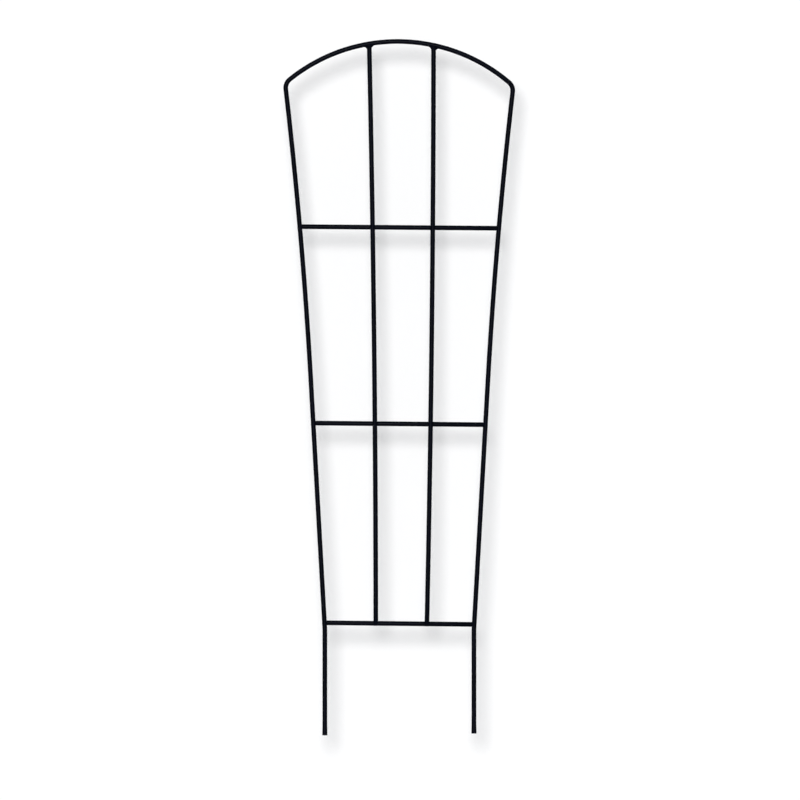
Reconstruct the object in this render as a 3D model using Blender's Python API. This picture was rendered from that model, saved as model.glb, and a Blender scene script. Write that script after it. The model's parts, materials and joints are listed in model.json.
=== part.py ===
"""Fan pot trellis of welded steel rod with a black powder coat.

Metres, +Z up, the front towards -Y. The origin lies midway between the leg tips, on the
centre plane of the frame rod. One bent rod makes both legs, both sides and the arch. Two
uprights stand in the same plane: they butt against the arch from below and end in front
of the lowest cross rod. Three cross rods lie behind them. A weld holds every joint.
"""

import math

import bmesh
import bpy
from mathutils import Matrix, Vector

# Rod stock
ROD_DIAMETER = 0.00635  # quarter-inch rod, with its coating
END_CHAMFER = 0.0005  # broken edge at each cut end
SEAT_GAP = 0.0003  # clearance wherever two pieces meet

# Heights, stacked from the leg tips up to the crown of the arch
LEG_LENGTH = 0.1457  # leg tip to the lowest cross rod
LOWER_ROW = 0.2626  # lowest cross rod to the middle one
MIDDLE_ROW = 0.2583  # middle cross rod to the upper one
TOP_ROW = 0.2445  # upper cross rod to the crown

# Outline of the frame, along the centre line of its rod
LEG_SPAN = 0.196  # from leg to leg
LEG_STRAIGHT = 0.1385  # leg tip to the bend where a side starts to lean out
LEG_BEND_RADIUS = 0.03
SIDE_LEAN = math.radians(3.22)  # from upright, along the straight stretch of a side
SIDE_STRAIGHT = 0.3265  # height of that stretch
SIDE_BOW_RADIUS = 6.5  # above it a side curves gently outwards
ARCH_RISE = 0.0569  # crown above the corners where sides and arch would meet unrounded
SHOULDER_RADIUS = 0.0145  # bend that rounds those corners

# Uprights
UPRIGHT_FOOT_SPAN = 0.0672  # between the two, at their feet
UPRIGHT_TOP_SPAN = 0.0846  # between the two, at the arch
UPRIGHT_BOW = 0.002  # both bow this far to the right at mid height

# The photographed piece isn't quite symmetric. All four at 0 give the even design.
ARCH_SHIFT = -0.0024  # centre of the arch from the frame's middle
UPRIGHT_SHIFT = 0.0026  # middle of the pair of uprights from the frame's middle
CROSS_ROD_DROP = 0.0022  # right end of each cross rod below its left end
LEG_STAGGER = 0.0024  # left leg tip below the right one

# Weld in the crotch between two rods that cross
NUGGET_LEAST = 0.0004  # thickness of the bead at its inner edge
NUGGET_BAND = 0.0009  # width of the bead, from its inner edge outwards
NUGGET_HEIGHT = 0.003
NUGGET_WAIST = 0.0003  # how far the bead's outer face is hollowed

# Weld round the top of an upright, where it butts against the arch
FILLET_ALONG_ARCH = 0.0042  # beyond the side of the upright
FILLET_DOWN = 0.004  # below the underside of the arch
FILLET_WRAP = 0.0012  # above the underside of the arch, at front and back
FILLET_LIP = 0.00045  # thickness of the bead at its lower edge

# Fineness of the mesh
ROD_SIDES = 16  # an even number
BEND_STEPS = 4
BOW_STEPS = 10
SHOULDER_STEPS = 8
ARCH_STEPS = 28
UPRIGHT_STEPS = 12
NUGGET_STEPS = 20
FILLET_RINGS = 5
FILLET_STEPS = 24

ROD_RADIUS = ROD_DIAMETER / 2
BACK_LAYER = ROD_DIAMETER + SEAT_GAP  # the cross rods' centre plane behind the frame's
LOWER_ROD_Z = LEG_LENGTH
MIDDLE_ROD_Z = LOWER_ROD_Z + LOWER_ROW
UPPER_ROD_Z = MIDDLE_ROD_Z + MIDDLE_ROW
CROWN_Z = UPPER_ROD_Z + TOP_ROW

# A side is a straight stretch from BOW_START down and an arc round BOW_CENTRE above it.
LEG_BEND = Vector((LEG_SPAN / 2, LEG_STRAIGHT))
BOW_START = LEG_BEND + Vector((math.tan(SIDE_LEAN), 1)) * SIDE_STRAIGHT
BOW_CENTRE = BOW_START + Vector((math.cos(SIDE_LEAN), -math.sin(SIDE_LEAN))) * SIDE_BOW_RADIUS


def side_x(z):
    """Distance of a side's centre line from the frame's middle at a height."""
    if z <= LEG_BEND.y:
        return LEG_BEND.x
    if z <= BOW_START.y:
        return LEG_BEND.x + (z - LEG_BEND.y) * math.tan(SIDE_LEAN)
    return BOW_CENTRE.x - math.sqrt(SIDE_BOW_RADIUS**2 - (z - BOW_CENTRE.y) ** 2)


CORNER_X = side_x(CROWN_Z - ARCH_RISE)
ARCH_RADIUS = (CORNER_X**2 + ARCH_RISE**2) / (2 * ARCH_RISE)
ARCH_CENTRE = Vector((ARCH_SHIFT, CROWN_Z - ARCH_RADIUS))


def arch_z(x):
    """Height of the arch's centre line at a distance from the frame's middle."""
    return ARCH_CENTRE.y + math.sqrt(ARCH_RADIUS**2 - (x - ARCH_CENTRE.x) ** 2)


def upright_top_x(hand):
    return UPRIGHT_SHIFT + hand * UPRIGHT_TOP_SPAN / 2


def upright_x(hand, z):
    """Place of an upright's centre line at a height; hand is -1 on the left, 1 on the right."""
    foot = UPRIGHT_SHIFT + hand * UPRIGHT_FOOT_SPAN / 2
    top = upright_top_x(hand)
    share = (z - LOWER_ROD_Z) / (arch_z(top) - LOWER_ROD_Z)
    return foot + (top - foot) * share + 4 * UPRIGHT_BOW * share * (1 - share)


def cross_rod_z(middle_z, x):
    """Height of a cross rod's centre line at a distance from the frame's middle."""
    return middle_z - CROSS_ROD_DROP * x / (2 * side_x(middle_z))


def arc(centre, start, end, steps):
    """Points from start to end round a centre, the short way, with both ends."""
    spoke = start - centre
    turn = -spoke.angle_signed(end - centre)
    return [centre + Matrix.Rotation(turn * i / steps, 2) @ spoke for i in range(steps + 1)]


def leg_bend_points():
    """The slight bend from a leg into its side, on the right."""
    reach = LEG_BEND_RADIUS * math.tan(SIDE_LEAN / 2)
    start = LEG_BEND - Vector((0, reach))
    end = LEG_BEND + Vector((math.sin(SIDE_LEAN), math.cos(SIDE_LEAN))) * reach
    return arc(start + Vector((LEG_BEND_RADIUS, 0)), start, end, BEND_STEPS)


def shoulder_centre(arch_centre):
    """Centre of the bend that touches the arch from inside and the bowed side."""
    to_arch = ARCH_RADIUS - SHOULDER_RADIUS
    to_side = SIDE_BOW_RADIUS + SHOULDER_RADIUS
    line = BOW_CENTRE - arch_centre
    along = (to_arch**2 - to_side**2 + line.length_squared) / (2 * line.length)
    across = math.sqrt(to_arch**2 - along**2)
    unit = line.normalized()
    return arch_centre + unit * along + Vector((-unit.y, unit.x)) * across


def frame_half(hand):
    """Centre line of one half of the frame, from the leg tip to the end of its shoulder."""
    arch_centre = Vector((hand * ARCH_CENTRE.x, ARCH_CENTRE.y))
    centre = shoulder_centre(arch_centre)
    side_end = BOW_CENTRE + (centre - BOW_CENTRE).normalized() * SIDE_BOW_RADIUS
    arch_end = arch_centre + (centre - arch_centre).normalized() * ARCH_RADIUS
    points = [Vector((LEG_SPAN / 2, hand * LEG_STAGGER / 2))]
    points += leg_bend_points()
    points += arc(BOW_CENTRE, BOW_START, side_end, BOW_STEPS)
    points += arc(centre, side_end, arch_end, SHOULDER_STEPS)[1:]
    return [Vector((hand * p.x, p.y)) for p in points]


def frame_line():
    """Centre line of the whole frame, from the left leg tip over the arch to the right."""
    left, right = frame_half(-1), frame_half(1)
    arch = arc(ARCH_CENTRE, left[-1], right[-1], ARCH_STEPS)
    return left + arch[1:-1] + right[::-1]


def arch_fall(x):
    """Slope of the arch, downwards to the right, above a distance from the frame's middle."""
    return (x - ARCH_CENTRE.x) / (arch_z(x) - ARCH_CENTRE.y)


def upright_line(hand):
    """Centre line of an upright, from level with the underside of the lowest cross rod.

    Its square top ends just clear of the arch, whose slope brings it nearest at one edge.
    """
    foot_z = cross_rod_z(LOWER_ROD_Z, upright_x(hand, LOWER_ROD_Z)) - ROD_RADIUS
    top_x = upright_top_x(hand)
    top_z = arch_z(top_x) - ROD_RADIUS * (1 + abs(arch_fall(top_x))) - SEAT_GAP
    heights = [foot_z + (top_z - foot_z) * i / UPRIGHT_STEPS for i in range(UPRIGHT_STEPS + 1)]
    return [Vector((upright_x(hand, z), z)) for z in heights]


def cross_rod_line(middle_z):
    """Centre line of a cross rod, whose ends are flush with the frame's outer edges."""
    ends = []
    for hand in (-1, 1):
        z = cross_rod_z(middle_z, hand * side_x(middle_z))
        ends.append(Vector((hand * (side_x(z) + ROD_RADIUS), z)))
    return ends


def coat(name, colour, roughness):
    """Black powder coat: a satin plastic skin over the steel."""
    material = bpy.data.materials.new(name)
    material.use_nodes = True
    shader = material.node_tree.nodes["Principled BSDF"]
    shader.inputs["Base Color"].default_value = (*colour, 1)
    shader.inputs["Metallic"].default_value = 0
    shader.inputs["Roughness"].default_value = roughness
    material.diffuse_color = (*colour, 1)
    return material


def add_object(name, mesh, material, parent):
    mesh.materials.clear()
    mesh.materials.append(material)
    mesh.shade_smooth()
    mesh.set_sharp_from_angle(angle=math.radians(35))
    obj = bpy.data.objects.new(name, mesh)
    obj.parent = parent
    bpy.context.scene.collection.objects.link(obj)
    return obj


def tube_mesh(name, line, y, radius, chamfer=0, longer=0):
    """A round bar along a centre line in the plane at y, cut square at both ends."""
    first_out = (line[0] - line[1]).normalized()
    last_out = (line[-1] - line[-2]).normalized()
    first = line[0] + first_out * longer
    last = line[-1] + last_out * longer
    points = [(p, radius) for p in line[1:-1]]
    if chamfer:
        points = [(first - first_out * chamfer, radius), *points, (last - last_out * chamfer, radius)]
    points = [(first, radius - chamfer), *points, (last, radius - chamfer)]
    curve = bpy.data.curves.new(name, "CURVE")
    curve.dimensions = "3D"
    curve.twist_mode = "MINIMUM"
    curve.bevel_depth = radius
    curve.bevel_resolution = (ROD_SIDES - 4) // 2
    curve.use_fill_caps = True
    spline = curve.splines.new("POLY")
    spline.points.add(len(points) - 1)
    for target, (point, size) in zip(spline.points, points, strict=True):
        target.co = (point.x, y, point.y, 1)
        target.radius = size / radius
    holder = bpy.data.objects.new(name, curve)
    mesh = bpy.data.meshes.new_from_object(holder)
    mesh.name = name
    bpy.data.objects.remove(holder)
    bpy.data.curves.remove(curve)
    return mesh


def add_rod(name, line, y, material, parent):
    """A rod. Returns a cutter, wider by the seat gap and longer, for the welds beside it."""
    add_object(name, tube_mesh(name, line, y, ROD_RADIUS, chamfer=END_CHAMFER), material, parent)
    room = tube_mesh(name + "_room", line, y, ROD_RADIUS + SEAT_GAP, longer=ROD_RADIUS)
    cutter = add_object(name + "_room", room, material, parent)
    cutter.hide_render = True
    cutter.display_type = "WIRE"
    return cutter


def clear_of(obj, cutter):
    """Cuts away what would lie within the seat gap of a rod."""
    cut = obj.modifiers.new("clear_of_" + cutter.name, "BOOLEAN")
    cut.operation = "DIFFERENCE"
    cut.solver = "EXACT"
    cut.object = cutter


def nugget_mesh():
    """Ring of weld metal round the spot where two rods touch, turned round Y."""
    inner = math.sqrt(ROD_DIAMETER * (SEAT_GAP + NUGGET_LEAST))
    outer = inner + NUGGET_BAND
    half = NUGGET_HEIGHT / 2
    profile = [(inner, -half), (outer, -half), (outer - NUGGET_WAIST, 0), (outer, half), (inner, half)]
    bm = bmesh.new()
    verts = [bm.verts.new((x, y, 0)) for x, y in profile]
    edges = [bm.edges.new((a, b)) for a, b in zip(verts, verts[1:] + verts[:1], strict=True)]
    bmesh.ops.spin(
        bm,
        geom=verts + edges,
        cent=(0, 0, 0),
        axis=(0, 1, 0),
        angle=math.tau,
        steps=NUGGET_STEPS,
        use_merge=True,
    )
    bmesh.ops.remove_doubles(bm, verts=bm.verts, dist=1e-6)
    bmesh.ops.recalc_face_normals(bm, faces=bm.faces)
    mesh = bpy.data.meshes.new("nugget")
    bm.to_mesh(mesh)
    bm.free()
    return mesh


def add_nugget(name, x, middle_z, rooms, material, parent):
    """Weld between a cross rod and the rod in front of it, kept clear of both."""
    weld = add_object(name, nugget_mesh(), material, parent)
    weld.location = (x, BACK_LAYER / 2, cross_rod_z(middle_z, x))
    for room in rooms:
        clear_of(weld, room)


def fillet_ring(bm, hand, share):
    """One oval of the weld under the arch: share is 0 at its lower edge and 1 at its top."""
    top_x = upright_top_x(hand)
    underside = arch_z(top_x) - ROD_RADIUS
    z = underside - FILLET_DOWN + (FILLET_DOWN + FILLET_WRAP) * share
    fall = arch_fall(top_x) * share
    hollow = 1 - math.sqrt(1 - share**2)
    depth = ROD_RADIUS + SEAT_GAP + FILLET_LIP
    width = depth + (ROD_RADIUS + FILLET_ALONG_ARCH - depth) * hollow
    verts = []
    for i in range(FILLET_STEPS):
        angle = math.tau * i / FILLET_STEPS
        across = width * math.cos(angle)
        spot = (upright_x(hand, z) + across, depth * math.sin(angle), z - fall * across)
        verts.append(bm.verts.new(spot))
    return verts


def fillet_mesh(hand):
    """Weld metal that flares from the top of an upright out along the arch."""
    bm = bmesh.new()
    rings = [fillet_ring(bm, hand, i / FILLET_RINGS) for i in range(FILLET_RINGS + 1)]
    for low, high in zip(rings, rings[1:], strict=False):
        for i in range(FILLET_STEPS):
            bm.faces.new((low[i - 1], low[i], high[i], high[i - 1]))
    bm.faces.new(rings[0][::-1])
    bm.faces.new(rings[-1])
    bmesh.ops.recalc_face_normals(bm, faces=bm.faces)
    mesh = bpy.data.meshes.new("fillet")
    bm.to_mesh(mesh)
    bm.free()
    return mesh


def build():
    for old in list(bpy.data.objects):
        bpy.data.objects.remove(old)
    rod_coat = coat("rod_powder_coat", (0.0080, 0.0091, 0.0137), 0.42)
    weld_coat = coat("weld_powder_coat", (0.0091, 0.0100, 0.0144), 0.5)
    trellis = bpy.data.objects.new("trellis", None)
    bpy.context.scene.collection.objects.link(trellis)

    frame_room = add_rod("frame", frame_line(), 0, rod_coat, trellis)
    uprights = {}
    for side, hand in (("left", -1), ("right", 1)):
        upright_room = add_rod(side + "_upright", upright_line(hand), 0, rod_coat, trellis)
        fillet = add_object("weld_arch_" + side + "_upright", fillet_mesh(hand), weld_coat, trellis)
        # The upright's own cut comes first: the other way round can turn the fillet inside out.
        clear_of(fillet, upright_room)
        clear_of(fillet, frame_room)
        uprights[side] = hand, upright_room

    for row, middle_z in (("lower", LOWER_ROD_Z), ("middle", MIDDLE_ROD_Z), ("upper", UPPER_ROD_Z)):
        rod_room = add_rod(row + "_cross_rod", cross_rod_line(middle_z), BACK_LAYER, rod_coat, trellis)
        for side, (hand, upright_room) in uprights.items():
            side_spot = hand * side_x(cross_rod_z(middle_z, hand * side_x(middle_z)))
            upright_spot = upright_x(hand, cross_rod_z(middle_z, upright_x(hand, middle_z)))
            joints = (("side", side_spot, frame_room), ("upright", upright_spot, upright_room))
            for other, spot, room in joints:
                name = f"weld_{row}_{side}_{other}"
                add_nugget(name, spot, middle_z, (room, rod_room), weld_coat, trellis)


build()
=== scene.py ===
"""Looks of a fan pot trellis: welded quarter-inch steel rod under a black powder coat.

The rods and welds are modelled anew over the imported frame, finer than its solids and
fused where it keeps a clearance. A white studio sweep close behind takes the soft shadow
of one wide lamp up to the left.
"""

import json
import math

import bmesh
import bpy
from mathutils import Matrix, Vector


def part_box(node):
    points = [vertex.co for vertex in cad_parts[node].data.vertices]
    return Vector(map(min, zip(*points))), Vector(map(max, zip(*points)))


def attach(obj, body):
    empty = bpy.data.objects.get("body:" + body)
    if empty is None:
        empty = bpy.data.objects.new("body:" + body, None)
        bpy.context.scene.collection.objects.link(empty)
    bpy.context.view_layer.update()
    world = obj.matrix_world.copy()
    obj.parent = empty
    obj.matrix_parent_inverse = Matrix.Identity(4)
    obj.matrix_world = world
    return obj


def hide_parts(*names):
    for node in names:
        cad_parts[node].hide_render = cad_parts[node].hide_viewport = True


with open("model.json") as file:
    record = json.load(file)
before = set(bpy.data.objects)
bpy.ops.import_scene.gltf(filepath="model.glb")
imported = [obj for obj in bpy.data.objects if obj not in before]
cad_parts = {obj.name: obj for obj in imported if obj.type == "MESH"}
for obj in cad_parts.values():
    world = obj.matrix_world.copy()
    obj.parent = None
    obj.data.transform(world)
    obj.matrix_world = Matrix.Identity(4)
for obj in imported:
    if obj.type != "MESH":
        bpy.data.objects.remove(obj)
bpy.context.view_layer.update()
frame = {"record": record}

HANDS = {"left": -1, "right": 1}  # which way along X each side lies
QUARTER_TURN = math.radians(90)

# Rods, from the frame
bar_low, bar_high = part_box("lower_cross_rod")
ROD_RADIUS = (bar_high.y - bar_low.y) / 2
BAR_Y = (bar_high.y + bar_low.y) / 2  # the cross bars' centre plane, behind the frame rod's
CROWN_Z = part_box("frame")[1].z - ROD_RADIUS
LEG_TIPS = {
    mount["name"]: Vector(mount["pos_m"])
    for mount in frame["record"]["mounts"]
    if mount["name"].endswith("leg_tip")
}

# Bends of the frame rod, which its box in the frame doesn't give
LEG_STRAIGHT = 0.1385  # height of the bend where a side starts to lean out
LEG_BEND_RADIUS = 0.03
SIDE_LEAN = math.radians(3.22)  # from upright, along the straight stretch of a side
SIDE_STRAIGHT = 0.3265  # height of that stretch
SIDE_BOW_RADIUS = 6.5  # above it a side curves gently outwards
ARCH_RISE = 0.0569  # crown above the corners where sides and arch would meet unrounded
ARCH_SHIFT = -0.0024  # centre of the arch from the frame's middle
SHOULDER_RADIUS = 0.0145

# Uprights
UPRIGHT_FOOT_SPAN = 0.0672
UPRIGHT_TOP_SPAN = 0.0846
UPRIGHT_SHIFT = 0.0026  # middle of the pair from the frame's middle
UPRIGHT_BOW = 0.002  # both bow this far to the right at mid height
UPRIGHT_CUT = 0.0016  # their cut tops lie this far below the arch's centre line

# Cut ends under the coat
END_ROUND = 0.0006  # the coat rounds the rim of every cut
TIP_SWELL = 0.00022  # the coat gathers at the hanging leg tips and thickens them
TIP_SWELL_LENGTH = 0.016

# Weld beads
BEAD_DOWN = 0.0046  # arch bead below the underside of the arch, at the upright's sides
BEAD_ALONG = 0.0052  # arch bead beyond each side of the upright, to its thin toes
BEAD_UP = 0.0015  # arch bead above the arch's centre line, inside the arch
BEAD_CROWN = 0.00035  # arch bead's collar proud of the upright at front and back
BEAD_RIDGE = 0.0022  # half the thickness of the ridge in the arch bead, at its middle
BEAD_TOE = 0.0012  # and at a toe
BEAD_BLEND = 4  # power that rounds collar and ridge into one another
BEAD_SUNK = 0.0002  # how far the bead's edges end under the skin of arch and upright
WAIST = 0.0025  # least radius of the bead between two crossing rods
WAIST_FLARE = 0.0015  # how far that bead runs out along each rod
WAIST_REACH = 0.0015  # how far it reaches into each rod from the middle of the gap
BEAD_SET_IN = 0.001  # a bead beside a rod's cut end sits this far in from the crossing's middle
BEAD_GRAIN = 0.0013  # size of the lumps that the arc leaves
BEAD_LUMP = 0.0002  # height of those lumps

# Fineness
ROD_SIDES = 32
BEND_STEPS = 6
BOW_STEPS = 16
SHOULDER_STEPS = 20
ARCH_STEPS = 64
UPRIGHT_STEPS = 24
ROUND_STEPS = 4
SWELL_STEPS = 6
BEAD_SIDES = 56
BEAD_RINGS = 18  # over each fillet
BEAD_MIDDLE_RINGS = 16  # across the upright
WAIST_RINGS = 12  # from the waist to each end
SMOOTH_ANGLE = math.radians(40)  # edges that turn more than this stay crisp

# Powder coat
COAT_DARK = "#010308"  # the two ends of its drift in tone
COAT_LIGHT = "#060814"
COAT_GLOSSIER = 0.05  # how far the roughness falls at the dark end
COAT_DULLER = 0.06  # and rises at the light one
COAT_SPECULAR = 0.021  # very low: the real coat shows hardly any highlight
DRIFT_SIZE = 0.045  # the slow drift along a rod
SPECKLE_SIZE = 0.0035  # the finer mottle over it
DRIFT_SHARE = 0.6  # weight of the drift beside the mottle
MOTTLE_LOW = 0.6  # their sum runs about from here
MOTTLE_HIGH = 1.0  # to here

# Stage
LENS = 1000  # long, so that the shadows lie about equally far from their rods, as in the photo
SENSOR = 36
CAMERA_REACH = 100  # far past the sweep, from where that lens stands
PICTURE_WIDTH = 1.0517  # what the square picture spans at the frame rod's plane
PICTURE_MIDDLE = Vector((0.0008, 0, 0.4397))
WALL_GAP = 0.12  # frame rod's plane to the wall behind it, at the picture's middle
WALL_LEAN = math.radians(1.5)  # the wall leans forward, which evens out the shadows' distances
SHADOW_SIDE = 0.0081  # how far a shadow lies to the right of its rod on that wall
SHADOW_DROP = 0.0183  # and below it
SHADOW_BLUR = 0.0183  # how far the soft edge reaches from the middle of the shadow
KEY_LIGHT = 0.62  # share of white that the softbox gives the wall
FILL_LIGHT = 0.42  # share that comes from all round
SOFTBOX_DISCS = {"softbox": (0.87, 0.75), "softbox_middle": (0.5, 0.25)}  # shares of blur, light
SURROUND = "#fcfdff"

SWEEP_WIDTH = 12
SWEEP_TOP = 4
SWEEP_BEND_Z = -0.15  # the wall starts to curve forward here, below the picture
SWEEP_BEND_RADIUS = 0.3
SWEEP_FLOOR_LENGTH = 8
SWEEP_BEND_STEPS = 24
PAPER_SEEN = "#ffffff"
PAPER_LIT = "#ececec"  # what the paper throws back as light
FLOOR_SLOPE = 0.05  # the sweep counts as floor where its normal rises more than this
FLOOR_LIFT = 0.3  # glow that brings the floor to the wall's white


# Where the rods run


def in_plane(x, z):
    return Vector((x, 0, z))


LEG_X = LEG_TIPS["right_leg_tip"].x
LEG_BEND = in_plane(LEG_X, LEG_STRAIGHT)
BOW_START = LEG_BEND + in_plane(math.tan(SIDE_LEAN), 1) * SIDE_STRAIGHT
BOW_CENTRE = BOW_START + in_plane(math.cos(SIDE_LEAN), -math.sin(SIDE_LEAN)) * SIDE_BOW_RADIUS


def side_x(z):
    """Distance of a side's centre line from the frame's middle at a height."""
    if z <= BOW_START.z:
        return LEG_X + max(z - LEG_BEND.z, 0) * math.tan(SIDE_LEAN)
    return BOW_CENTRE.x - math.sqrt(SIDE_BOW_RADIUS**2 - (z - BOW_CENTRE.z) ** 2)


ARCH_HALF = side_x(CROWN_Z - ARCH_RISE)
ARCH_RADIUS = (ARCH_HALF**2 + ARCH_RISE**2) / (2 * ARCH_RISE)
ARCH_CENTRE = in_plane(ARCH_SHIFT, CROWN_Z - ARCH_RADIUS)


def arch_z(x):
    return ARCH_CENTRE.z + math.sqrt(ARCH_RADIUS**2 - (x - ARCH_CENTRE.x) ** 2)


def mirrored(point, hand):
    """A point of the right side as it lies on a side; hand is -1 on the left, 1 on the right."""
    return Vector((hand * point.x, point.y, point.z))


def shoulder(hand):
    """Centre of a shoulder's bend, its end on the side and its end on the arch."""
    arch_centre = mirrored(ARCH_CENTRE, hand)
    to_arch = ARCH_RADIUS - SHOULDER_RADIUS
    to_side = SIDE_BOW_RADIUS + SHOULDER_RADIUS
    line = BOW_CENTRE - arch_centre
    along = (to_arch**2 - to_side**2 + line.length_squared) / (2 * line.length)
    across = math.sqrt(to_arch**2 - along**2)
    unit = line.normalized()
    centre = arch_centre + unit * along + in_plane(-unit.z, unit.x) * across
    side_end = BOW_CENTRE + (centre - BOW_CENTRE).normalized() * SIDE_BOW_RADIUS
    arch_end = arch_centre + (centre - arch_centre).normalized() * ARCH_RADIUS
    return [mirrored(point, hand) for point in (centre, side_end, arch_end)]


def cross_bar_ends(row):
    """Left and right end of a cross bar's centre line: its left end lies higher."""
    low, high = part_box(row + "_cross_rod")
    drop = (high.z - low.z) / 2 - ROD_RADIUS
    middle = (low.z + high.z) / 2
    return Vector((low.x, BAR_Y, middle + drop)), Vector((high.x, BAR_Y, middle - drop))


def cross_bar_z(row, x):
    left, right = cross_bar_ends(row)
    return left.z + (right.z - left.z) * (x - left.x) / (right.x - left.x)


UPRIGHT_FOOT_Z = cross_bar_z("lower", 0)


def upright_top_x(hand):
    return UPRIGHT_SHIFT + hand * UPRIGHT_TOP_SPAN / 2


def upright_x(hand, z):
    """An upright's centre line at a height: straight from foot to top, plus its slight bow."""
    foot = UPRIGHT_SHIFT + hand * UPRIGHT_FOOT_SPAN / 2
    top = upright_top_x(hand)
    share = (z - UPRIGHT_FOOT_Z) / (arch_z(top) - UPRIGHT_FOOT_Z)
    return foot + (top - foot) * share + 4 * UPRIGHT_BOW * share * (1 - share)


def crossings(row):
    """Side, rod and place of each weld between a cross bar and the rods in front of it."""
    for side, hand in HANDS.items():
        level = cross_bar_z(row, 0)
        for rod, x in (("side", hand * side_x(level)), ("upright", upright_x(hand, level))):
            inwards = hand * BEAD_SET_IN if rod == "side" else 0
            upwards = BEAD_SET_IN if (row, rod) == ("lower", "upright") else 0
            yield side, rod, (x - inwards, BAR_Y / 2, cross_bar_z(row, x) + upwards)


# Modelling by hand


def deselect_all():
    bpy.ops.object.select_all(action="DESELECT")


class Drawn:
    """A shape drawn out ring by ring in edit mode, from its first end to its last.

    Its rings lie level unless they are upright, across X. Their size is half their width
    and half their depth: along X and Y in a level ring, along Y and Z in an upright one.
    """

    def __init__(self, name, spot, size, sides=ROD_SIDES, upright=False):
        deselect_all()
        turn = QUARTER_TURN if upright else 0
        bpy.ops.mesh.primitive_circle_add(vertices=sides, radius=1, rotation=(0, turn, 0))
        bpy.context.object.name = bpy.context.object.data.name = name
        bpy.ops.object.transform_apply(rotation=True)
        bpy.ops.object.mode_set(mode="EDIT")
        bpy.ops.mesh.select_all(action="SELECT")
        self.upright, self.size, self.spot = upright, (1, 1), Vector()
        self.resize(size)
        bpy.ops.transform.translate(value=spot)
        self.spot = spot.copy()

    def resize(self, size):
        width, depth = size[0] / self.size[0], size[1] / self.size[1]
        share = (1, width, depth) if self.upright else (width, depth, 1)
        bpy.ops.transform.resize(value=share, center_override=self.spot)
        self.size = size

    def draw(self, spot, size=None):
        """Draws the end on to a spot, and swells or narrows it there."""
        bpy.ops.mesh.extrude_region_move(TRANSFORM_OT_translate={"value": spot - self.spot})
        self.spot = spot.copy()
        if size:
            self.resize(size)

    def bend(self, former, spot, steps):
        """Bends the rod round the centre of a former until its end reaches a spot."""
        spoke, wanted = self.spot - former, spot - former
        turn = math.atan2(spoke.cross(wanted).y, spoke.dot(wanted))
        bpy.ops.mesh.spin(steps=steps, angle=-turn, center=former, axis=(0, 1, 0))
        self.spot = spot.copy()

    def close(self):
        """Caps both ends and leaves edit mode."""
        bpy.ops.mesh.select_all(action="SELECT")
        bpy.ops.mesh.fill_holes(sides=0)
        bpy.ops.mesh.normals_make_consistent(inside=False)
        bpy.ops.object.mode_set(mode="OBJECT")
        return bpy.context.object


def drawn_bead(name, rings, upright=False):
    """A bead drawn through rings, each given by its middle and its size."""
    (spot, size), *further = rings
    bead = Drawn(name, spot, size, BEAD_SIDES, upright)
    for spot, size in further:
        bead.draw(spot, size)
    return bead.close()


def rounded_rim(radius):
    """Distance from a cut end and radius there, over the rim that the coat rounds."""
    for i in range(ROUND_STEPS + 1):
        turn = QUARTER_TURN * i / ROUND_STEPS
        yield END_ROUND * (1 - math.cos(turn)), radius - END_ROUND * (1 - math.sin(turn))


def leg_tip_profile():
    """Distance from a leg tip and radius there: the rim, then the swelling that fades upwards."""
    yield from rounded_rim(ROD_RADIUS + TIP_SWELL)
    for i in range(1, SWELL_STEPS + 1):
        share = i / SWELL_STEPS
        fade = (1 + math.cos(math.pi * share)) / 2
        yield END_ROUND + (TIP_SWELL_LENGTH - END_ROUND) * share, ROD_RADIUS + TIP_SWELL * fade


def model_frame_rod():
    """Both legs, both sides and the arch: one rod bent round formers, from tip to tip."""
    profile = list(leg_tip_profile())
    left_tip, right_tip = LEG_TIPS["left_leg_tip"], LEG_TIPS["right_leg_tip"]
    up = in_plane(0, 1)
    reach = LEG_BEND_RADIUS * math.tan(SIDE_LEAN / 2)
    bend_low = LEG_BEND - up * reach
    bend_high = LEG_BEND + in_plane(math.sin(SIDE_LEAN), math.cos(SIDE_LEAN)) * reach
    bend_centre = bend_low + in_plane(LEG_BEND_RADIUS, 0)

    rod = Drawn("frame_rod", left_tip, (profile[0][1], profile[0][1]))
    for distance, radius in profile[1:]:
        rod.draw(left_tip + up * distance, (radius, radius))
    rod.draw(mirrored(bend_low, -1))
    rod.bend(mirrored(bend_centre, -1), mirrored(bend_high, -1), BEND_STEPS)
    rod.draw(mirrored(BOW_START, -1))
    centre, side_end, arch_end = shoulder(-1)
    rod.bend(mirrored(BOW_CENTRE, -1), side_end, BOW_STEPS)
    rod.bend(centre, arch_end, SHOULDER_STEPS)
    centre, side_end, arch_end = shoulder(1)
    rod.bend(ARCH_CENTRE, arch_end, ARCH_STEPS)
    rod.bend(centre, side_end, SHOULDER_STEPS)
    rod.bend(BOW_CENTRE, BOW_START, BOW_STEPS)
    rod.draw(bend_high)
    rod.bend(bend_centre, bend_low, BEND_STEPS)
    for distance, radius in reversed(profile):
        rod.draw(right_tip + up * distance, (radius, radius))
    return rod.close()


def model_upright(side, hand):
    """An upright, from its cut foot in front of the lowest cross bar up into the arch."""
    foot_z = cross_bar_z("lower", upright_x(hand, UPRIGHT_FOOT_Z)) - ROD_RADIUS
    top_z = arch_z(upright_top_x(hand)) - UPRIGHT_CUT
    profile = list(rounded_rim(ROD_RADIUS))
    foot = in_plane(upright_x(hand, foot_z), foot_z)
    rod = Drawn(side + "_upright_rod", foot, (profile[0][1], profile[0][1]))
    for distance, radius in profile[1:]:
        rod.draw(foot + in_plane(0, distance), (radius, radius))
    for i in range(1, UPRIGHT_STEPS + 1):
        z = foot_z + (top_z - foot_z) * i / UPRIGHT_STEPS
        rod.draw(in_plane(upright_x(hand, z), z))
    return rod.close()


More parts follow.
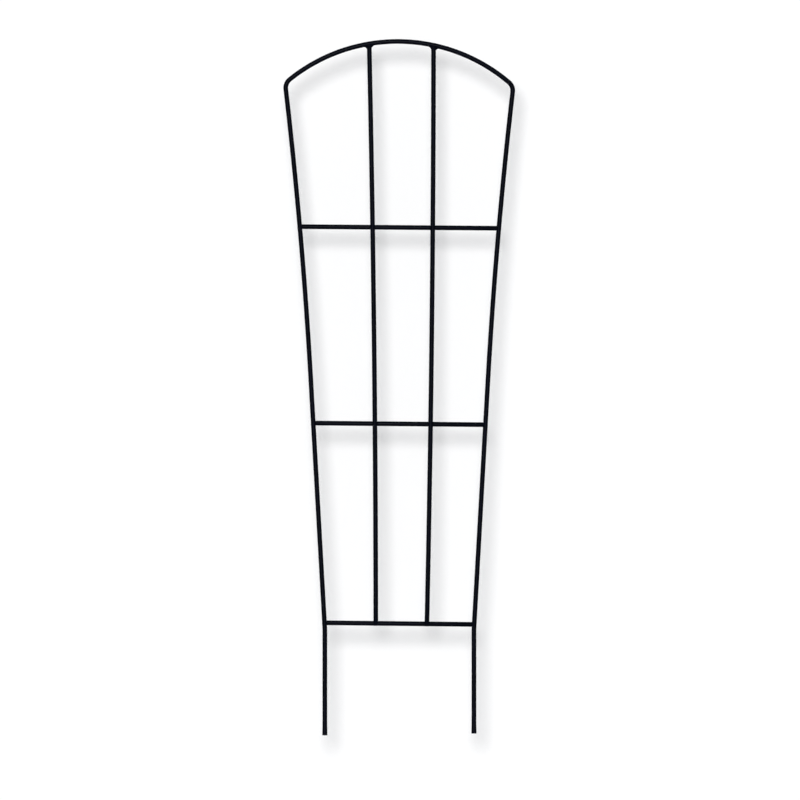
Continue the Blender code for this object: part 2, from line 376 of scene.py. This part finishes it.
def select_where(test):
    """Selects the vertices of the piece in hand that pass a test."""
    mesh = bpy.context.object.data
    bm = bmesh.from_edit_mesh(mesh)
    bpy.ops.mesh.select_all(action="DESELECT")
    for vert in bm.verts:
        vert.select_set(test(vert.co))
    bm.select_flush(True)
    bmesh.update_edit_mesh(mesh)


def model_cross_bar(half_length):
    """A straight bar along X with the rims of its cut ends rounded by the coat."""
    deselect_all()
    bpy.ops.mesh.primitive_cylinder_add(
        vertices=ROD_SIDES,
        radius=ROD_RADIUS,
        depth=2 * half_length,
        rotation=(0, QUARTER_TURN, 0),
    )
    bar = bpy.context.object
    bpy.ops.object.transform_apply(rotation=True)
    bpy.ops.object.mode_set(mode="EDIT")
    bpy.ops.mesh.select_mode(type="EDGE")
    bm = bmesh.from_edit_mesh(bar.data)
    for edge in bm.edges:
        # an edge of a rim has both its ends at the same end of the bar
        edge.select_set(edge.verts[0].co.x * edge.verts[1].co.x > 0)
    bmesh.update_edit_mesh(bar.data)
    bpy.ops.mesh.bevel(offset=END_ROUND, segments=ROUND_STEPS, affect="EDGES")
    bpy.ops.mesh.select_mode(type="VERT")
    bpy.ops.object.mode_set(mode="OBJECT")
    return bar


def copy_of(piece, name):
    """A copy with a mesh of its own, alone selected."""
    deselect_all()
    made = piece.copy()
    made.data = piece.data.copy()
    made.name = made.data.name = name
    bpy.context.scene.collection.objects.link(made)
    bpy.context.view_layer.objects.active = made
    made.select_set(True)
    return made


def place(piece, spot, turn=0):
    """Turns a piece round Y, sets it down and leaves its object unturned at the origin."""
    piece.location = spot
    piece.rotation_euler = (0, turn, 0)
    bpy.ops.object.transform_apply(location=True, rotation=True)


def fit_cross_bar(bar, row, half_length):
    """A copy of the bar, its halves drawn apart to a row's width and set at its slant."""
    left, right = cross_bar_ends(row)
    longer = (right - left).length / 2 - half_length
    piece = copy_of(bar, row + "_cross_bar")
    bpy.ops.object.mode_set(mode="EDIT")
    for hand in HANDS.values():
        select_where(lambda spot: spot.x * hand > 0)
        bpy.ops.transform.translate(value=(hand * longer, 0, 0))
    bpy.ops.object.mode_set(mode="OBJECT")
    place(piece, (left + right) / 2, math.atan2(left.z - right.z, right.x - left.x))
    return piece


def arch_bead_profile():
    """Distance from the upright's centre and depth under the arch, from toe to toe.

    Beside the upright the underside is a concave fillet, from just under the skin of the
    upright to just under that of the arch.
    """
    core = ROD_RADIUS - BEAD_SUNK
    fillet = []
    for i in range(BEAD_RINGS + 1):
        turn = math.pi / 2 * i / BEAD_RINGS
        out, down = 1 - math.cos(turn), 1 - math.sin(turn)
        fillet.append((core + BEAD_ALONG * out, BEAD_DOWN * down - BEAD_SUNK * out))
    for along, depth in reversed(fillet):
        yield -along, depth
    for i in range(1, BEAD_MIDDLE_RINGS):
        yield core * (2 * i / BEAD_MIDDLE_RINGS - 1), BEAD_DOWN
    yield from fillet


def arch_bead_rings(hand):
    """Middle and size of each ring of an arch bead.

    Across the upright it is a collar, as round as that and a little thicker. Beside it a
    ridge thins out towards the toes. The top of each ring lies inside the arch.
    """
    for along, depth in arch_bead_profile():
        x = upright_top_x(hand) + along
        tall = (BEAD_UP + ROD_RADIUS + depth) / 2
        collar = math.sqrt(max((ROD_RADIUS + BEAD_CROWN) ** 2 - along**2, 0))
        fade = 1 - abs(along) / (ROD_RADIUS + BEAD_ALONG)
        ridge = BEAD_TOE + (BEAD_RIDGE - BEAD_TOE) * fade
        thick = (collar**BEAD_BLEND + ridge**BEAD_BLEND) ** (1 / BEAD_BLEND)
        yield in_plane(x, arch_z(x) + BEAD_UP - tall), (thick, tall)


def model_arch_bead(side, hand):
    """Weld under the arch round the top of an upright, drawn along the arch from toe to toe."""
    return drawn_bead(side + "_arch_bead", arch_bead_rings(hand), upright=True)


def waist_rings():
    """Middle and size of each ring of a crossing bead, drawn upwards with its front on top.

    The waist flares along X at the back, and at the front along Y, which is turned to Z.
    """
    for i in range(-WAIST_RINGS, WAIST_RINGS + 1):
        share = i / WAIST_RINGS
        behind, before = max(-share, 0) ** 2, max(share, 0) ** 2
        size = (WAIST + WAIST_FLARE * behind, WAIST + WAIST_FLARE * before)
        yield Vector((0, 0, WAIST_REACH * share)), size


def model_crossing_bead():
    """Weld between two crossing rods, drawn from the back rod to the front one.

    It is a waist that runs out along each rod: along X into the one behind, along Z into
    the one in front. Its ends close inside the rods.
    """
    piece = drawn_bead("crossing_bead", waist_rings())
    piece.rotation_euler = (QUARTER_TURN, 0, 0)
    bpy.ops.object.transform_apply(rotation=True)
    return piece


LUMPS = bpy.data.textures.new("weld_lumps", "CLOUDS")
LUMPS.noise_scale = BEAD_GRAIN
LUMPS.noise_depth = 1


def roughen(piece):
    """Raises the lumps of the weld metal on the piece in hand."""
    lumps = piece.modifiers.new("lumps", "DISPLACE")
    lumps.texture = LUMPS
    lumps.texture_coords = "LOCAL"
    lumps.strength = BEAD_LUMP
    lumps.mid_level = 0.5
    bpy.ops.object.modifier_apply(modifier=lumps.name)


# Finishes


def srgb(code):
    """A colour written as sRGB hex, as the linear values that a shader takes."""
    channels = [int(code[i : i + 2], 16) / 255 for i in (1, 3, 5)]
    return (*[c / 12.92 if c <= 0.04045 else ((c + 0.055) / 1.055) ** 2.4 for c in channels], 1)


def add_node(tree, kind, inputs=None, **settings):
    """Adds a node; inputs gives each socket a value or another node's output."""
    made = tree.nodes.new(kind)
    for name, value in settings.items():
        setattr(made, name, value)
    for socket, value in (inputs or {}).items():
        if isinstance(value, bpy.types.NodeSocket):
            tree.links.new(value, made.inputs[socket])
        else:
            made.inputs[socket].default_value = value
    return made


def new_material(name):
    material = bpy.data.materials.new(name)
    material.use_nodes = True
    tree = material.node_tree
    return material, tree, tree.nodes["Principled BSDF"]


def powder_coat(name, roughness, peel, peel_height):
    """Black polyester powder coat, sprayed dry and baked on steel.

    The eye sees a cool near-black satin skin. Its orange peel, which the powder leaves as
    it melts, breaks the highlight up, and its thickness drifts a little along a rod.
    """
    material, tree, shader = new_material(name)
    place_on = add_node(tree, "ShaderNodeTexCoord").outputs["Object"]
    drift = add_node(
        tree,
        "ShaderNodeTexNoise",
        {"Vector": place_on, "Scale": 1 / DRIFT_SIZE, "Detail": 3, "Roughness": 0.55},
    ).outputs["Fac"]
    speckle = add_node(
        tree,
        "ShaderNodeTexNoise",
        {"Vector": place_on, "Scale": 1 / SPECKLE_SIZE, "Detail": 2, "Roughness": 0.6},
    ).outputs["Fac"]
    grain = add_node(
        tree,
        "ShaderNodeTexNoise",
        {"Vector": place_on, "Scale": 1 / peel, "Detail": 2, "Roughness": 0.5},
    ).outputs["Fac"]
    mottle = add_node(
        tree, "ShaderNodeMath", {0: drift, 1: DRIFT_SHARE, 2: speckle}, operation="MULTIPLY_ADD"
    ).outputs[0]
    share = add_node(
        tree,
        "ShaderNodeMapRange",
        {"Value": mottle, "From Min": MOTTLE_LOW, "From Max": MOTTLE_HIGH},
    ).outputs["Result"]
    tone = add_node(
        tree,
        "ShaderNodeMix",
        {"Factor": share, "A": srgb(COAT_DARK), "B": srgb(COAT_LIGHT)},
        data_type="RGBA",
    ).outputs["Result"]
    rough = add_node(
        tree,
        "ShaderNodeMapRange",
        {
            "Value": share,
            "To Min": roughness - COAT_GLOSSIER,
            "To Max": roughness + COAT_DULLER,
        },
    ).outputs["Result"]
    skin = add_node(
        tree, "ShaderNodeBump", {"Height": grain, "Distance": peel_height, "Strength": 1}
    ).outputs["Normal"]
    for socket, value in (("Base Color", tone), ("Roughness", rough), ("Normal", skin)):
        tree.links.new(value, shader.inputs[socket])
    shader.inputs["Metallic"].default_value = 0
    shader.inputs["Specular IOR Level"].default_value = COAT_SPECULAR
    return material


def seen_directly(tree):
    """1 for what the camera sees, straight, in a gloss or through glass, and 0 for light."""
    rays = add_node(tree, "ShaderNodeLightPath").outputs
    seen = rays["Is Camera Ray"]
    for kind in ("Is Glossy Ray", "Is Transmission Ray"):
        seen = add_node(
            tree, "ShaderNodeMath", {0: seen, 1: rays[kind]}, operation="MAXIMUM"
        ).outputs[0]
    return seen


def white_paper():
    """Matt white background paper, seen as pure white outside the shadow.

    From behind it isn't seen at all, so that the back of the trellis shows. Its floor gets
    less of the lamp than the wall, so it is lifted to the same white for the camera, and
    throws no light back on the wall, which stays even.
    """
    material, tree, shader = new_material("white_paper")
    tree.nodes.remove(shader)
    seen = seen_directly(tree)
    face = add_node(tree, "ShaderNodeNewGeometry").outputs
    tone = add_node(
        tree,
        "ShaderNodeMix",
        {"Factor": seen, "A": srgb(PAPER_LIT), "B": srgb(PAPER_SEEN)},
        data_type="RGBA",
    ).outputs["Result"]
    matt = add_node(tree, "ShaderNodeBsdfDiffuse", {"Color": tone}).outputs[0]
    up = add_node(tree, "ShaderNodeSeparateXYZ", {"Vector": face["Normal"]}).outputs["Z"]
    lift = add_node(
        tree, "ShaderNodeMath", {0: up, 1: FLOOR_LIFT}, operation="MULTIPLY"
    ).outputs[0]
    glow = add_node(
        tree, "ShaderNodeEmission", {"Color": srgb(PAPER_SEEN), "Strength": lift}
    ).outputs[0]
    lit = add_node(tree, "ShaderNodeAddShader", {0: matt, 1: glow}).outputs[0]
    unseen = add_node(
        tree, "ShaderNodeMath", {0: 1, 1: seen}, operation="SUBTRACT"
    ).outputs[0]
    floor = add_node(
        tree, "ShaderNodeMath", {0: up, 1: FLOOR_SLOPE}, operation="GREATER_THAN"
    ).outputs[0]
    left_out = add_node(
        tree,
        "ShaderNodeMath",
        {0: floor, 1: unseen, 2: face["Backfacing"]},
        operation="MULTIPLY_ADD",
    ).outputs[0]
    clear = add_node(tree, "ShaderNodeBsdfTransparent").outputs[0]
    paper = add_node(tree, "ShaderNodeMixShader", {0: left_out, 1: lit, 2: clear}).outputs[0]
    tree.links.new(paper, tree.nodes["Material Output"].inputs["Surface"])
    return material


# Making


def dress(piece, material, node):
    """Gives a finished piece its coat and puts it in a CAD node's place."""
    deselect_all()
    piece.select_set(True)
    bpy.context.view_layer.objects.active = piece
    bpy.ops.object.shade_smooth_by_angle(angle=SMOOTH_ANGLE)
    piece.data.materials.clear()
    piece.data.materials.append(material)
    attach(piece, "root")
    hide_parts(node)


def make_trellis():
    rod_coat = powder_coat(
        "satin_black_powder_coat", roughness=0.25, peel=0.0011, peel_height=0.00003
    )
    bead_coat = powder_coat(
        "powder_coat_over_weld", roughness=0.31, peel=0.0008, peel_height=0.00005
    )

    dress(model_frame_rod(), rod_coat, "frame")
    for side, hand in HANDS.items():
        dress(model_upright(side, hand), rod_coat, side + "_upright")
        bead = model_arch_bead(side, hand)
        roughen(bead)
        dress(bead, bead_coat, f"weld_arch_{side}_upright")

    left, right = cross_bar_ends("lower")
    half_length = (right - left).length / 2
    bar = model_cross_bar(half_length)
    crossing = model_crossing_bead()
    for row in ("lower", "middle", "upper"):
        piece = fit_cross_bar(bar, row, half_length)
        dress(piece, rod_coat, row + "_cross_rod")
        for side, rod, spot in crossings(row):
            bead = copy_of(crossing, f"{row}_{side}_{rod}_bead")
            place(bead, spot)
            roughen(bead)
            dress(bead, bead_coat, f"weld_{row}_{side}_{rod}")
    bpy.data.objects.remove(bar)
    bpy.data.objects.remove(crossing)


def make_sweep():
    """Background paper: a wall close behind that curves into a floor below the picture."""
    foot_y = WALL_GAP + math.tan(WALL_LEAN) * (PICTURE_MIDDLE.z - SWEEP_BEND_Z)
    height = SWEEP_TOP - SWEEP_BEND_Z
    deselect_all()
    bpy.ops.mesh.primitive_plane_add(size=1, rotation=(QUARTER_TURN, 0, 0))
    sweep = bpy.context.object
    sweep.name = "studio_sweep"
    bpy.ops.object.transform_apply(rotation=True)
    bpy.ops.object.mode_set(mode="EDIT")
    bpy.ops.mesh.select_all(action="SELECT")
    bpy.ops.transform.resize(value=(SWEEP_WIDTH, 1, height), center_override=(0, 0, 0))
    bpy.ops.transform.translate(value=(0, foot_y, SWEEP_BEND_Z + height / 2))
    select_where(lambda spot: spot.z > 0)
    bpy.ops.transform.translate(value=(0, -math.tan(WALL_LEAN) * height, 0))
    select_where(lambda spot: spot.z < 0)
    bpy.ops.mesh.spin(
        steps=SWEEP_BEND_STEPS,
        angle=QUARTER_TURN,
        center=(0, foot_y - SWEEP_BEND_RADIUS, SWEEP_BEND_Z),
        axis=(1, 0, 0),
    )
    bpy.ops.mesh.extrude_region_move(
        TRANSFORM_OT_translate={"value": (0, -SWEEP_FLOOR_LENGTH, 0)}
    )
    bpy.ops.object.mode_set(mode="OBJECT")
    sweep.data.materials.append(white_paper())
    bpy.ops.object.shade_smooth()


def make_light():
    """A softbox near the camera, up to the left, and even light from all round.

    The softbox is brighter in its middle: two discs round one centre, of equal brightness
    a unit of area, stand for its fall-off.
    """
    towards = Vector((-SHADOW_SIDE, -WALL_GAP, SHADOW_DROP)).normalized()
    for name, (reach, share) in SOFTBOX_DISCS.items():
        lamp = bpy.data.lights.new(name, "SUN")
        lamp.angle = 2 * math.atan(SHADOW_BLUR * reach / WALL_GAP)
        lamp.energy = KEY_LIGHT * share * math.pi / -towards.y
        key = bpy.data.objects.new(name, lamp)
        key.rotation_euler = towards.to_track_quat("Z", "Y").to_euler()
        bpy.context.scene.collection.objects.link(key)

    world = bpy.data.worlds.new("studio")
    world.use_nodes = True
    bpy.context.scene.world = world
    tree = world.node_tree
    strength = add_node(
        tree,
        "ShaderNodeMapRange",
        {"Value": seen_directly(tree), "To Min": FILL_LIGHT, "To Max": 1},
    ).outputs["Result"]
    background = tree.nodes["Background"]
    background.inputs["Color"].default_value = srgb(SURROUND)
    tree.links.new(strength, background.inputs["Strength"])


def make_camera():
    """Square on from the front, through a long lens as far back as the picture needs."""
    lens = bpy.data.cameras.new("camera")
    lens.lens, lens.sensor_width = LENS, SENSOR
    lens.clip_end = CAMERA_REACH
    camera = bpy.data.objects.new("camera", lens)
    camera.location = PICTURE_MIDDLE - Vector((0, PICTURE_WIDTH * LENS / SENSOR, 0))
    camera.rotation_euler = (QUARTER_TURN, 0, 0)
    bpy.context.scene.collection.objects.link(camera)
    bpy.context.scene.camera = camera


make_camera()
make_light()
make_sweep()
make_trellis()
bpy.context.scene.view_settings.view_transform = "Standard"
